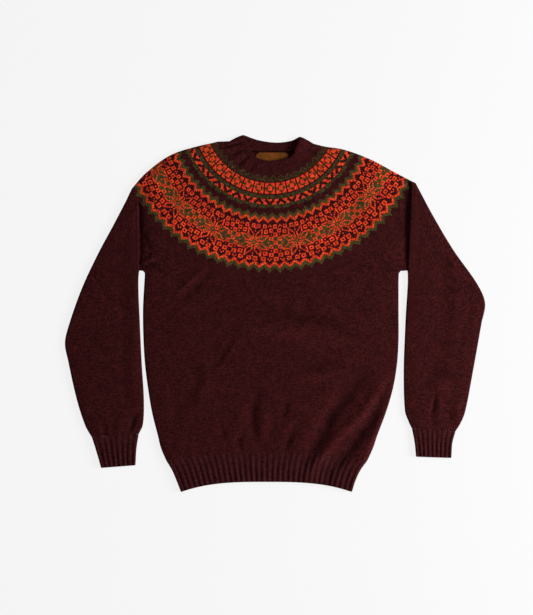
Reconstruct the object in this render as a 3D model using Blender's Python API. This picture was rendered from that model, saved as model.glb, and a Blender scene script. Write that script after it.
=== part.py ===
"""A crew-neck wool pullover with a round patterned yoke, laid flat on its back.

Both sleeves are brought down beside the body, so the cloth creases at each armhole. Every piece is a
closed wall: its outer points follow the lay of the garment, and its inner points lie one cloth
thickness inside them. X runs across the garment, Y up from the hem's corners to the neck, and Z up
from the surface that it lies on. Left and right are the wearer's, so the left sleeve lies at +X.
"""

import math
from collections import namedtuple

import bmesh
import bpy
from mathutils import Vector

MM = 0.001  # every size below is in millimetres

# Cloth thicknesses
JERSEY = 2.6  # plain knit
STRANDED = 3.0  # two-colour knit, with the second yarn carried behind it
RIBBING = 3.0  # the wall under the raised ribs
RIB_RISE = 1.3  # how far a rib stands over the furrow beside it
LABEL_CLOTH = 0.6
SEAM = 0.3  # the gap between two pieces that are joined
NECK_SEAM_GAP = 0.45  # the same at the neckband, which turns sharply at the shoulders

# Heights of the front layer's outer side over the surface
REST_TOP = 8.4  # where the front lies loosely on the back
EDGE_TOP = 6.8  # beside a fold, where the two layers are pressed together
BAND_TOP = 8.8  # at the neckband, whose ribbing springs up
PILLOW = 16.0  # how far in from a fold the front takes to rise
MOST_HOLLOW = 3.6  # the most room between the layers; a higher fold is filled with cloth
FOLD_ROUND = 3.3  # radius of the cloth where the front turns into the back

# Counts of columns and sections
FOLD_ANGLES = (0, 30, 60)  # degrees round a fold, up to where the cloth is level
FRONT_COLUMNS = 34  # along the yoke's outer edge
BACK_COLUMNS = 24
SLEEVE_COLUMNS = 10
ARMHOLE_STEP = 12.0  # between a sleeve's columns where it meets the yoke
PATH_STEPS = 48

# Ribs, counted across one layer
HEM_RIBS = 34
CUFF_RIBS = 9
NECK_RIBS = 21
RibPoint = namedtuple("RibPoint", "at raised has_inner")  # `at` is a share of one rib
RIB_SHAPE = (
    RibPoint(0.0, 0, True),
    RibPoint(0.18, 0, False),
    RibPoint(0.36, 1, True),
    RibPoint(0.82, 1, False),
)

# The yoke is a set of rings about one centre, straight above the neck
YOKE_CENTRE = (-2.0, 749.0)
YokeRing = namedtuple("YokeRing", "radius right_angle left_angle back_rise")
YOKE_RINGS = (  # angles run from straight down to the shoulder fold on each side
    YokeRing(117.2, 65.0, 60.5, 33.0),
    YokeRing(155.0, 68.0, 65.6, 30.0),
    YokeRing(208.0, 69.2, 67.0, 25.0),
    YokeRing(270.0, 66.0, 66.0, 19.0),
    YokeRing(311.4, 62.7, 65.5, 16.0),
)
YOKE_STEPS = 2  # sections from one ring of the table to the next

# The neckband's seam and its free edge, from the fold at the right shoulder to the left one
NECK_SEAM_FRONT = ((-82, 698), (-70, 669), (-43, 644), (-1, 633.5), (43, 644), (70, 667), (83, 694))
NECK_EDGE_FRONT = ((-59, 713), (-46, 690), (-36, 671), (-1, 660), (40, 670), (49, 690), (58, 709))
NECK_SEAM_BACK = ((-82, 698), (-43, 685), (0, 680), (43, 684), (83, 694))
NECK_EDGE_BACK = ((-59, 713), (-27, 702), (8, 697), (39, 700), (58, 709))
NECK_STEPS = 3

# Sides of the body, from the hem's seam up to the underarm
SideRow = namedtuple("SideRow", "y right_x left_x")
BODY_SIDES = (
    SideRow(62.0, -210.4, 191.6),
    SideRow(87.0, -221.0, 203.0),
    SideRow(111.0, -227.0, 211.0),
    SideRow(159.0, -239.0, 229.0),
    SideRow(207.0, -247.0, 243.0),
    SideRow(255.0, -253.0, 251.0),
    SideRow(303.0, -256.0, 254.0),
    SideRow(363.0, -257.0, 254.0),
    SideRow(422.0, -254.0, 254.0),
    SideRow(433.0, -254.5, 255.0),
    SideRow(438.5, -257.5, 260.0),
    SideRow(441.8, -264.4, 271.6),  # the underarm
)
BODY_ROWS = (  # sections up to the underarm, as shares of the side; closest over the hem
    *(0.0, 0.03, 0.065, 0.1, 0.14, 0.18, 0.23, 0.28, 0.34, 0.42, 0.51, 0.6, 0.69),
    *(0.78, 0.86, 0.92, 0.945, 0.965, 1.0),
)
ARMHOLE_ROWS = (0.16, 0.36, 0.58, 0.8, 1.0)  # sections above it, as shares of the crease
FRONT_ONLY_ROWS = (1, 3, 5, 7, 9, 11, 13, 19, 21)  # numbers of the sections that the back leaves out

# The armholes' creases run straight up from the underarm, and end on the yoke's outer edge
CREASE_RIGHT_ANGLE = 57.9
CREASE_LEFT_ANGLE = 64.6
BESIDE_CREASE = (5.0, 10.0)  # extra columns of the body's front, beside each crease
SAG_FROM = 0.675  # how far up the body its sections begin to curve round the yoke

# The hem's rib, which draws its lines up at the middle
HEM_SIDES = (
    SideRow(61.7, -210.4, 191.6),
    SideRow(43.0, -199.0, 178.0),
    SideRow(22.0, -190.0, 168.0),
    SideRow(0.0, -181.4, 161.0),
)
HEM_SEAM_ARCH = 16.0
HEM_EDGE_ARCH = 20.4
HEM_ROWS = (0.0, 0.33, 0.66, 1.0)

# Sleeves, from below the armhole to the cuff's seam: the outer fold and the inner one
ArmRow = namedtuple("ArmRow", "outer_x outer_y inner_x inner_y")
SLEEVE_RIGHT_ROWS = (
    ArmRow(-283.0, 598.0, -264.9, 438.0),
    ArmRow(-291.0, 581.0, -265.4, 434.0),
    ArmRow(-317.0, 531.0, -266.0, 421.0),
    ArmRow(-345.0, 479.0, -265.8, 395.0),
    ArmRow(-378.0, 409.0, -264.0, 357.0),
    ArmRow(-403.5, 338.0, -262.2, 315.0),
    ArmRow(-413.0, 298.0, -261.0, 289.0),
    ArmRow(-407.0, 263.0, -259.4, 257.0),
    ArmRow(-389.0, 183.0, -255.0, 183.0),
    ArmRow(-372.0, 131.0, -257.0, 134.0),
    ArmRow(-359.0, 108.0, -265.4, 115.0),
)
SLEEVE_LEFT_ROWS = (
    ArmRow(288.0, 617.0, 272.1, 437.5),
    ArmRow(296.0, 602.0, 272.4, 434.0),
    ArmRow(321.0, 555.0, 272.4, 419.0),
    ArmRow(363.0, 484.0, 271.0, 393.0),
    ArmRow(412.0, 414.0, 269.2, 367.0),
    ArmRow(427.0, 377.0, 268.2, 349.0),
    ArmRow(420.0, 337.0, 267.0, 323.0),
    ArmRow(404.0, 247.0, 264.2, 243.0),
    ArmRow(387.0, 159.0, 266.6, 162.0),
    ArmRow(377.0, 135.0, 274.0, 140.0),
    ArmRow(368.0, 121.0, 280.6, 126.0),
)
SLEEVE_STOPS = (0, 1, 2, 2.5, 3, 3.5, 4, 4.5, 5, 6, 6.5, 7, 7.33, 7.67, 8, 8.5, 9, 10)
CUFF_RIGHT_ROWS = (
    ArmRow(-358.9, 107.7, -265.5, 114.7),
    ArmRow(-350.4, 81.0, -270.0, 85.0),
    ArmRow(-341.0, 48.2, -271.8, 53.6),
)
CUFF_LEFT_ROWS = (
    ArmRow(367.9, 120.7, 280.7, 125.7),
    ArmRow(361.6, 97.0, 286.0, 98.0),
    ArmRow(359.6, 68.2, 288.8, 70.6),
)
CUFF_STOPS = (0, 0.5, 1, 2)

# Soft folds of the front layer: from, to, how wide, and how high, or how deep below zero
Fold = namedtuple("Fold", "x0 y0 x1 y1 width rise")
BODY_FOLDS = (
    Fold(215, 190, 135, 68, 9, -1.9),
    Fold(130, 172, 70, 74, 9, -1.6),
    Fold(43, 128, 20, 88, 6, -0.9),
    Fold(-35, 175, -35, 92, 7, -1.3),
    Fold(-52, 118, -70, 88, 5, -0.8),
    Fold(188, 160, 112, 50, 10, 2.0),
    Fold(98, 160, 44, 76, 9, 1.4),
    Fold(-8, 150, -12, 78, 9, 1.0),
    Fold(160, 85, 190, 135, 8, 0.9),
    Fold(-120, 150, -150, 80, 12, 0.8),
    Fold(-160, 400, 60, 330, 22, 0.7),
    Fold(40, 300, 220, 330, 20, -0.8),
    Fold(-262, 590, -258, 462, 12, -1.9),
    Fold(274, 600, 266, 456, 9, -1.9),
    Fold(-258, 449, -232, 470, 4, -1.1),
    Fold(-250, 470, -205, 492, 9, 0.9),
    Fold(262, 452, 235, 470, 6, 0.8),
)
YOKE_FOLDS = (
    Fold(-86, 668, -112, 654, 4, 0.8),
    Fold(-76, 652, -100, 632, 4, 0.8),
    Fold(-60, 636, -78, 612, 4, 0.6),
    Fold(84, 662, 108, 646, 5, 0.6),
    Fold(-262, 612, -240, 560, 14, -0.9),
    Fold(268, 612, 250, 575, 12, -0.8),
)
SLEEVE_RIGHT_FOLDS = (
    Fold(-277, 585, -271, 455, 8, 2.2),
    Fold(-392, 306, -320, 330, 14, -1.0),
    Fold(-385, 345, -310, 365, 16, 0.8),
    Fold(-300, 200, -310, 130, 8, 0.8),
    Fold(-335, 170, -330, 120, 6, -0.8),
)
SLEEVE_LEFT_FOLDS = (
    Fold(288, 600, 280, 455, 7, 1.7),
    Fold(405, 372, 330, 350, 14, -1.0),
    Fold(395, 330, 320, 318, 16, 0.8),
    Fold(335, 190, 322, 126, 6, -0.9),
    Fold(352, 170, 346, 125, 7, 0.8),
)

# The neck label, a plain strip with round corners, sewn inside the back neck
LABEL_SIZE = (64.0, 26.0)
LABEL_CENTRE = (1.0, 665.0)
LABEL_CORNER = 8.0
LABEL_CORNER_STEPS = 5

Place = namedtuple("Place", "at raised has_inner")  # `at` is a share of the way along a section
Column = namedtuple("Column", "distance angle raised has_inner")
Layer = namedtuple("Layer", "outer inner partners")  # the outer point behind which each inner one lies


class Path:
    """A line in plan, read by the distance along it."""

    def __init__(self, points):
        self.points = [Vector(p) for p in points]
        self.marks = [0.0]
        for a, b in zip(self.points, self.points[1:]):
            self.marks.append(self.marks[-1] + (b - a).length)
        self.length = self.marks[-1]

    def at(self, distance):
        distance = min(max(distance, 0.0), self.length)
        i = 1
        while self.marks[i] < distance and i < len(self.marks) - 1:
            i += 1
        part = (distance - self.marks[i - 1]) / (self.marks[i] - self.marks[i - 1])
        return self.points[i - 1].lerp(self.points[i], part)

    def spread(self, count):
        """Evenly spaced points along the whole line."""
        return [self.at(self.length * k / count) for k in range(count + 1)]


def curve_at(rows, place):
    """A smooth curve through rows of numbers, read at a row number that may have a fraction."""
    rows = [Vector(row) for row in rows]
    i = min(int(place), len(rows) - 2)
    t = place - i

    def slope(k):
        low, high = max(k - 1, 0), min(k + 1, len(rows) - 1)
        span = sum((rows[j + 1] - rows[j]).length for j in range(low, high))
        return (rows[high] - rows[low]) / span

    step = (rows[i + 1] - rows[i]).length
    return (
        rows[i] * (2 * t**3 - 3 * t**2 + 1)
        + slope(i) * step * (t**3 - 2 * t**2 + t)
        + rows[i + 1] * (3 * t**2 - 2 * t**3)
        + slope(i + 1) * step * (t**3 - t**2)
    )


def smooth_path(points):
    """A path on the smooth curve through a few points."""
    last = len(points) - 1
    return Path([curve_at(points, last * k / PATH_STEPS) for k in range(PATH_STEPS + 1)])


def arc_path(radius, right_angle, left_angle):
    """The part of a ring about the yoke's centre that shows on the front."""
    turn = right_angle + left_angle
    angles = [math.radians(turn * k / PATH_STEPS - right_angle) for k in range(PATH_STEPS + 1)]
    x, y = YOKE_CENTRE
    return Path([(x + radius * math.sin(a), y - radius * math.cos(a)) for a in angles])


def raised_path(front, rise):
    """The same ring on the back, which hangs less low at its middle."""
    lifts = [rise * math.sin(math.pi * mark / front.length) ** 2 for mark in front.marks]
    return Path([p + Vector((0.0, lift)) for p, lift in zip(front.points, lifts)])


def widened_path(path, gap):
    """The same line, moved out from the yoke's centre by a seam's gap."""
    centre = Vector(YOKE_CENTRE)
    return Path([p + (p - centre).normalized() * gap for p in path.points])


def between(low, high, share):
    """A path part of the way from one path to another."""
    pairs = zip(low.spread(PATH_STEPS), high.spread(PATH_STEPS))
    return Path([a.lerp(b, share) for a, b in pairs])


def even(count):
    """Evenly spaced places, none of them raised."""
    return [Place(k / count, 0, True) for k in range(count + 1)]


def ribbed(count, length):
    """Places on a row of ribs between two folds."""
    margin = FOLD_ROUND / length
    points = [p._replace(at=k + p.at) for k in range(count) for p in RIB_SHAPE]
    points.append(RibPoint(count, 0, True))
    return [
        Place(margin + (1 - 2 * margin) * p.at / count, p.raised, p.has_inner) for p in points
    ]


def layer_columns(length, places):
    """The columns of one layer, from fold to fold. They are closest round the folds."""
    turn = []
    for angle in FOLD_ANGLES:
        distance = FOLD_ROUND * (1 - math.cos(math.radians(angle)))
        turn.append(Column(distance, angle, 0, angle == 0))
    level = []
    for number, place in enumerate(places):
        distance = min(max(place.at * length, FOLD_ROUND), length - FOLD_ROUND)
        is_end = number in (0, len(places) - 1)
        level.append(Column(distance, 90, place.raised, place.has_inner and not is_end))
    turn_back = [c._replace(distance=length - c.distance) for c in reversed(turn)]
    return [*turn, *level, *turn_back]


def fold_height(point, folds):
    """How much the folds of a piece raise its front layer at a point."""
    height = 0.0
    for fold in folds:
        start = Vector((fold.x0, fold.y0))
        run = Vector((fold.x1, fold.y1)) - start
        along = min(max((point - start).dot(run) / run.length_squared, 0.0), 1.0)
        off = (point - start - run * along).length
        height += fold.rise * math.exp(-((off / fold.width) ** 2))
    return height


def make_layer(path, places, wall, outer_height, inner_height, is_open):
    """One layer of a section, whose ends are folds, or open edges.

    The two functions give the heights of its outer and inner points.
    """
    outer, inner, partners = [], [], []
    for number, column in enumerate(layer_columns(path.length, places)):
        outer.append((*path.at(column.distance), outer_height(column)))
        if not column.has_inner:
            continue
        partners.append(number)
        if column.angle == 0 and not is_open:
            inset = wall if column.distance < path.length / 2 else -wall
            inner.append((*path.at(column.distance + inset), FOLD_ROUND))
        else:
            inner.append((*path.at(column.distance), inner_height(column)))
    return Layer(outer, inner, partners)


def front_layer(path, places, wall, folds, rest=REST_TOP, is_open=False):
    """A front layer, which rises from its folded edges and follows its creases."""

    def top(column):
        room = min(column.distance, path.length - column.distance)
        swell = 1.0 if is_open else 1 - math.exp(-room / PILLOW)
        crease = fold_height(path.at(column.distance), folds)
        return EDGE_TOP + (rest - EDGE_TOP + crease) * swell

    def outer_height(column):
        turned = 1.0 if is_open else math.sin(math.radians(column.angle))
        return FOLD_ROUND + (top(column) - FOLD_ROUND) * turned + RIB_RISE * column.raised

    def inner_height(column):
        return min(max(top(column) - wall, wall + SEAM), wall + MOST_HOLLOW)

    return make_layer(path, places, wall, outer_height, inner_height, is_open)


def back_layer(path, places, wall, is_open=False):
    """A back layer, which lies flat on the surface."""

    def outer_height(column):
        turned = 1.0 if is_open else math.sin(math.radians(column.angle))
        return FOLD_ROUND * (1 - turned)

    return make_layer(path, places, wall, outer_height, lambda column: wall, is_open)


def ring(front, back):
    """One closed ring: the front layer to its far fold, then the back layer home again."""
    home = [len(front.outer) + len(back.outer) - 2 - i for i in back.partners[-2:0:-1]]
    inner = list(front.inner)
    for end in (0, -1):
        inner[end] = tuple((Vector(front.inner[end]) + Vector(back.inner[end])) / 2)
    return Layer(
        front.outer + back.outer[-2:0:-1], inner + back.inner[-2:0:-1], front.partners + home
    )


def parted(layer, side):
    """A panel whose folded edges stop half a seam short of the other panel's."""

    def moved(points):
        return [
            (x, y, z + side * SEAM / 2 if abs(z - FOLD_ROUND) < SEAM / 4 else z) for x, y, z in points
        ]

    return Layer(moved(layer.outer), moved(layer.inner), layer.partners)


def make_material(name, colour, roughness):
    material = bpy.data.materials.new(name)
    material.use_nodes = True
    shader = material.node_tree.nodes["Principled BSDF"]
    shader.inputs["Base Color"].default_value = (*colour, 1.0)
    shader.inputs["Roughness"].default_value = roughness
    shader.inputs["Metallic"].default_value = 0.0
    return material


def make_object(name, solid, material):
    mesh = bpy.data.meshes.new(name)
    solid.to_mesh(mesh)
    solid.free()
    mesh.materials.append(material)
    mesh.shade_smooth()
    mesh.set_sharp_from_angle(angle=math.radians(50))
    piece = bpy.data.objects.new(name, mesh)
    bpy.context.scene.collection.objects.link(piece)
    return piece


def make_wall(name, sections, is_ring, material):
    """Builds a closed wall of cloth through its sections, each an outer and an inner row of points."""
    solid = bmesh.new()
    outer = [[solid.verts.new(Vector(p) * MM) for p in s.outer] for s in sections]
    inner = [[solid.verts.new(Vector(p) * MM) for p in s.inner] for s in sections]
    around = len(outer[0]) if is_ring else len(outer[0]) - 1
    partners = sections[0].partners
    spans = list(zip(partners, partners[1:]))
    if is_ring:
        spans.append((partners[-1], partners[0] + around))
    for low in range(len(sections) - 1):
        high = low + 1
        for k in range(around):
            n = (k + 1) % len(outer[0])
            solid.faces.new((outer[low][k], outer[low][n], outer[high][n], outer[high][k]))
        for k in range(len(spans)):
            n = (k + 1) % len(inner[0])
            solid.faces.new((inner[low][k], inner[high][k], inner[high][n], inner[low][n]))
        if not is_ring:
            for end in (0, -1):
                solid.faces.new(
                    (outer[low][end], outer[high][end], inner[high][end], inner[low][end])
                )
    for row in (0, -1):
        for k, (first, last) in enumerate(spans):
            here, there = inner[row][k], inner[row][(k + 1) % len(inner[0])]
            edge = [outer[row][i % len(outer[0])] for i in range(first, last + 1)]
            for a, b in zip(edge, edge[1:]):
                solid.faces.new((a, b, here))
            solid.faces.new((edge[-1], there, here))
    bmesh.ops.recalc_face_normals(solid, faces=solid.faces)
    return make_object(name, solid, material)


def outer_ring(gap, is_front):
    """The yoke's outer edge, moved out by a gap."""
    row = YOKE_RINGS[-1]
    front = arc_path(row.radius + gap, row.right_angle, row.left_angle)
    return front if is_front else raised_path(front, row.back_rise)


def make_yoke(material):
    """The round yoke, knitted in one piece, from the neckband's seam to the body and sleeves."""
    places = even(FRONT_COLUMNS)
    back_places = even(BACK_COLUMNS)
    seams = (smooth_path(NECK_SEAM_FRONT), smooth_path(NECK_SEAM_BACK))
    paths = [tuple(widened_path(seam, NECK_SEAM_GAP) for seam in seams)]
    for k in range((len(YOKE_RINGS) - 1) * YOKE_STEPS + 1):
        row = YokeRing(*curve_at(YOKE_RINGS, k / YOKE_STEPS))
        front = arc_path(row.radius, row.right_angle, row.left_angle)
        paths.append((front, raised_path(front, row.back_rise)))
    sections = [
        ring(
            front_layer(front, places, STRANDED, YOKE_FOLDS),
            back_layer(back, back_places, STRANDED),
        )
        for front, back in paths
    ]
    return make_wall("yoke", sections, True, material)


def make_neckband(material):
    """The ribbed neckband, one ring whose ribs run from its seam to its free edge."""
    seams = (smooth_path(NECK_SEAM_FRONT), smooth_path(NECK_SEAM_BACK))
    edges = (smooth_path(NECK_EDGE_FRONT), smooth_path(NECK_EDGE_BACK))
    rest = BAND_TOP - RIB_RISE / 2
    sections = []
    for k in range(NECK_STEPS + 1):
        front, back = (between(s, e, k / NECK_STEPS) for s, e in zip(seams, edges))
        sections.append(
            ring(
                front_layer(front, ribbed(NECK_RIBS, front.length), RIBBING, (), rest),
                back_layer(back, even(BACK_COLUMNS), RIBBING),
            )
        )
    return make_wall("neckband", sections, True, material)


def side_paths(rows):
    """The right and left sides of a panel, each on the smooth curve through its table."""
    right = smooth_path([(row.right_x, row.y) for row in rows])
    return right, smooth_path([(row.left_x, row.y) for row in rows])


def arch(share):
    """The shape of a hem's line, which the rib draws up at the middle, from 0 at the sides to 1."""
    return 1 - abs(2 * share - 1) ** 3


def crease_marks(edge):
    """How far along the yoke's outer edge the right and left armhole creases meet it."""
    row = YOKE_RINGS[-1]
    right = row.right_angle - CREASE_RIGHT_ANGLE
    left = row.right_angle + CREASE_LEFT_ANGLE
    return [edge.length * turned / (row.right_angle + row.left_angle) for turned in (right, left)]


def body_columns(is_front):
    """Where the body's columns meet the yoke's edge, and which have a point of the inner wall."""
    edge = outer_ring(SEAM, is_front)
    count = FRONT_COLUMNS if is_front else BACK_COLUMNS
    right, left = crease_marks(edge)
    marks = [(right, True), (left, True)]
    if is_front:
        marks += [(mark, False) for beside in BESIDE_CREASE for mark in (right + beside, left - beside)]
    for k in range(count + 1):
        mark = edge.length * k / count
        if right < mark < left:
            marks.append((mark, True))
    marks.sort()
    return edge, marks


def body_ends():
    """The ends of the body's sections, from the hem's seam to the yoke, and whether each is open."""
    right, left = side_paths(BODY_SIDES)
    ends = [
        (right.at(right.length * share), left.at(left.length * share), share == 1.0)
        for share in BODY_ROWS
    ]
    edge = outer_ring(SEAM, True)
    right_top, left_top = (edge.at(mark) for mark in crease_marks(edge))
    right_underarm, left_underarm, _ = ends[-1]
    for share in ARMHOLE_ROWS:
        right_end = right_underarm.lerp(right_top, share)
        ends.append((right_end, left_underarm.lerp(left_top, share), True))
    return ends


def body_sections(is_front):
    """Sections of a body panel. The upper ones curve round the yoke."""
    edge, columns = body_columns(is_front)
    first, last = columns[0][0], columns[-1][0]
    shares = [(mark - first) / (last - first) for mark, _ in columns]
    ends = body_ends()
    if not is_front:
        ends = [end for number, end in enumerate(ends) if number not in FRONT_ONLY_ROWS]
    low_right, low_left, _ = ends[0]
    high_right, high_left, _ = ends[-1]
    sections = []
    for start, end, is_open in ends:
        up_right = (start.y - low_right.y) / (high_right.y - low_right.y)
        up_left = (end.y - low_left.y) / (high_left.y - low_left.y)
        up = (up_right + up_left) / 2
        sag = max(0.0, (up - SAG_FROM) / (1 - SAG_FROM))
        points = []
        for (mark, _), share in zip(columns, shares):
            round_yoke = edge.at(mark) - high_right.lerp(high_left, share)
            drawn_up = Vector((0.0, HEM_SEAM_ARCH * arch(share) * (1 - up)))
            points.append(start.lerp(end, share) + drawn_up + round_yoke * sag)
        points[0], points[-1] = start, end
        path = Path(points)
        places = [
            Place(mark / path.length, 0, has_inner) for mark, (_, has_inner) in zip(path.marks, columns)
        ]
        if is_front:
            layer = front_layer(path, places, JERSEY, BODY_FOLDS, is_open=is_open)
        else:
            layer = back_layer(path, places, JERSEY, is_open)
        sections.append(parted(layer, 1 if is_front else -1))
    return sections


def make_body_panels(material):
    """The front and back panels, joined at the side seams and open at the armholes."""
    make_wall("body_front", body_sections(True), False, material)
    make_wall("body_back", body_sections(False), False, material)


def make_hem_panels(material):
    """The ribbed hem of each panel. The ribs are raised on the front, which shows."""
    right, left = side_paths(HEM_SIDES)
    rest = REST_TOP - RIB_RISE / 2
    front, back = [], []
    for down in HEM_ROWS:
        start, end = right.at(right.length * down), left.at(left.length * down)
        lift = HEM_SEAM_ARCH + (HEM_EDGE_ARCH - HEM_SEAM_ARCH) * down
        shares = [k / PATH_STEPS for k in range(PATH_STEPS + 1)]
        path = Path([start.lerp(end, s) + Vector((0.0, lift * arch(s))) for s in shares])
        layer = front_layer(path, ribbed(HEM_RIBS, path.length), RIBBING, BODY_FOLDS, rest)
        front.append(parted(layer, 1))
        back.append(parted(back_layer(path, even(BACK_COLUMNS), RIBBING), -1))
    make_wall("hem_rib_front", front, False, material)
    make_wall("hem_rib_back", back, False, material)


def arm_path(row):
    """A straight section across a sleeve or cuff, from its outer fold to its inner one."""
    return Path([(row.outer_x, row.outer_y), (row.inner_x, row.inner_y)])


def crease_path(side):
    """A sleeve's edge at its armhole: along the yoke from the shoulder's fold, then down the crease."""
    edge = outer_ring(SEAM, True)
    marks = crease_marks(edge)
    reach = marks[0] if side < 0 else edge.length - marks[1]
    reach -= 2 * SEAM
    steps = max(1, round(reach / ARMHOLE_STEP))
    along = [reach * k / steps for k in range(steps + 1)]
    on_yoke = [edge.at(mark if side < 0 else edge.length - mark) for mark in along]
    row = BODY_SIDES[-1]
    underarm = Vector((row.right_x if side < 0 else row.left_x, row.y)) + Vector((side * SEAM, 0.0))
    down = [on_yoke[-1].lerp(underarm, (k + 1) / SLEEVE_COLUMNS) for k in range(SLEEVE_COLUMNS)]
    return Path([*on_yoke, *down])


def make_sleeve(name, rows, side, folds, material):
    """A sleeve: a tube from its armhole, which follows the crease, down to the cuff's seam."""
    crease = crease_path(side)
    count = len(crease.points) - 1
    runs = [(crease, [mark / crease.length for mark in crease.marks])]
    for stop in SLEEVE_STOPS:
        runs.append((arm_path(ArmRow(*curve_at(rows, stop))), [k / count for k in range(count + 1)]))
    sections = []
    for path, shares in runs:
        places = [Place(at, 0, True) for at in shares]
        sections.append(
            ring(front_layer(path, places, JERSEY, folds), back_layer(path, places, JERSEY))
        )
    return make_wall(name, sections, True, material)


def make_cuff(name, rows, material):
    """A ribbed cuff, with its ribs raised on the front."""
    rest = REST_TOP - RIB_RISE / 2
    sections = []
    for stop in CUFF_STOPS:
        path = arm_path(ArmRow(*curve_at(rows, stop)))
        front = front_layer(path, ribbed(CUFF_RIBS, path.length), RIBBING, (), rest)
        sections.append(ring(front, back_layer(path, even(CUFF_RIBS), RIBBING)))
    return make_wall(name, sections, True, material)


def make_label(material):
    """A plain woven label that lies on the inside of the back neck."""
    half_width, half_height = LABEL_SIZE[0] / 2, LABEL_SIZE[1] / 2
    outline = []
    for turn, (x_sign, y_sign) in enumerate(((1, 1), (-1, 1), (-1, -1), (1, -1))):
        for k in range(LABEL_CORNER_STEPS + 1):
            angle = math.pi / 2 * (turn + k / LABEL_CORNER_STEPS)
            x = x_sign * (half_width - LABEL_CORNER) + LABEL_CORNER * math.cos(angle)
            y = y_sign * (half_height - LABEL_CORNER) + LABEL_CORNER * math.sin(angle)
            outline.append((LABEL_CENTRE[0] + x, LABEL_CENTRE[1] + y, STRANDED + SEAM))
    solid = bmesh.new()
    face = solid.faces.new([solid.verts.new(Vector(p) * MM) for p in outline])
    grown = bmesh.ops.extrude_face_region(solid, geom=[face])
    top = [v for v in grown["geom"] if isinstance(v, bmesh.types.BMVert)]
    bmesh.ops.translate(solid, verts=top, vec=(0.0, 0.0, LABEL_CLOTH * MM))
    bmesh.ops.recalc_face_normals(solid, faces=solid.faces)
    return make_object("neck_label", solid, material)


def place_on_origin(pieces):
    """Puts the middle of the garment's outline, on the surface it lies on, at the origin."""
    corners = [v.co for piece in pieces for v in piece.data.vertices]
    middle_x = (min(c.x for c in corners) + max(c.x for c in corners)) / 2
    middle_y = (min(c.y for c in corners) + max(c.y for c in corners)) / 2
    garment = bpy.data.objects.new("garment", None)
    garment.location = (-middle_x, -middle_y, 0.0)
    bpy.context.scene.collection.objects.link(garment)
    for piece in pieces:
        piece.parent = garment


def main():
    for old in list(bpy.data.objects):
        bpy.data.objects.remove(old)
    wool = make_material("maroon_wool", (0.037, 0.0066, 0.0072), 0.9)
    yoke_wool = make_material("patterned_wool", (0.38, 0.055, 0.018), 0.9)
    label_satin = make_material("label_satin", (0.17, 0.075, 0.012), 0.45)
    make_yoke(yoke_wool)
    make_neckband(wool)
    make_body_panels(wool)
    make_hem_panels(wool)
    make_sleeve("sleeve_right", SLEEVE_RIGHT_ROWS, -1, SLEEVE_RIGHT_FOLDS, wool)
    make_sleeve("sleeve_left", SLEEVE_LEFT_ROWS, 1, SLEEVE_LEFT_FOLDS, wool)
    make_cuff("cuff_right", CUFF_RIGHT_ROWS, wool)
    make_cuff("cuff_left", CUFF_LEFT_ROWS, wool)
    make_label(label_satin)
    place_on_origin([o for o in bpy.data.objects if o.type == "MESH"])


main()
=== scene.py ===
# A knitted crew-neck pullover with a patterned yoke, laid flat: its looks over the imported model.
# Shapes are drawn in millimetres, X across and Y up from the hem's corners, as the pullover lies.
import math

import bpy
import mathutils
import numpy as np
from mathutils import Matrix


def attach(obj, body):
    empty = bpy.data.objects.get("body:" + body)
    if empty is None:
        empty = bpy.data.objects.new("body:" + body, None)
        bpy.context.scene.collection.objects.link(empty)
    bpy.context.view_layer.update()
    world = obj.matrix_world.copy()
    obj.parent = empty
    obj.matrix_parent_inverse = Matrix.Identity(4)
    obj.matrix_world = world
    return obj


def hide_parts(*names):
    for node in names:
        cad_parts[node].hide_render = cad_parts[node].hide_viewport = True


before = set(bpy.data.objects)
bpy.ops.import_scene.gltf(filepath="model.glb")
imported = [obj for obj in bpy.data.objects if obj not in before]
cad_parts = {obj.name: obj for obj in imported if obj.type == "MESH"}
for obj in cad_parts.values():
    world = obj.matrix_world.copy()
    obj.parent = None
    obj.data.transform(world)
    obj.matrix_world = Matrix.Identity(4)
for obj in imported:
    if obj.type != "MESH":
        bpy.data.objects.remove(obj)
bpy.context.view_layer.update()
bpy.ops.object.select_all(action="DESELECT")
print("frame loaded")

lay = {
    "middle": (7.0, 356.5),  # the drawing's point that lies on the frame's origin
    "rest": 8.4,  # top of the front layer
    "edge": 6.8,  # its top beside a fold
    "pillow": 16.0,  # how far in from a fold it takes to rise
    "foldLine": 3.4,  # height of a fold's outermost line
    "foldRadius": 3.3,
    "leastRadius": 0.5,  # of the inner side of a fold
    "nearFold": (0.8, 1.6, 2.5, 3.5, 4.6, 6.2),  # where closer columns run beside a fold
    "hold": 4.0,  # how far in from an edge soft folds reach their height
    "softEnd": 0.35,  # a soft fold's height at its ends, as a share of its rise
    "softEase": 0.8,  # below 1, it keeps its height for longer
    "under": 0.12,  # the underside, just clear of the floor
    "lump": 0.25,  # unevenness of the knitting as it lies
    "stitch": (3.3, 2.85),  # width and height of one stitch
    "seamAngle": 58.0,  # degrees between faces from which an edge is sharp, as at a seam
}
perMetre = 1000  # the drawing's millimetres

yarn = {  # linear colours
    "m": (0.036, 0.0049, 0.0052),
    "o": (0.69, 0.05, 0.013),
    "g": (0.055, 0.0455, 0.0135),
    "e": (0.03, 0.027, 0.009),  # the darker green
    "s": (0.011, 0.0022, 0.0023),  # painted shadow along the inside of the neck seam, as a dark thread
    "r": (0.038, 0.0064, 0.0072),  # ribbing: a paler, greyer copy of the maroon, as painted highlight on the ribs
}


# Lines in plan


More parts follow.
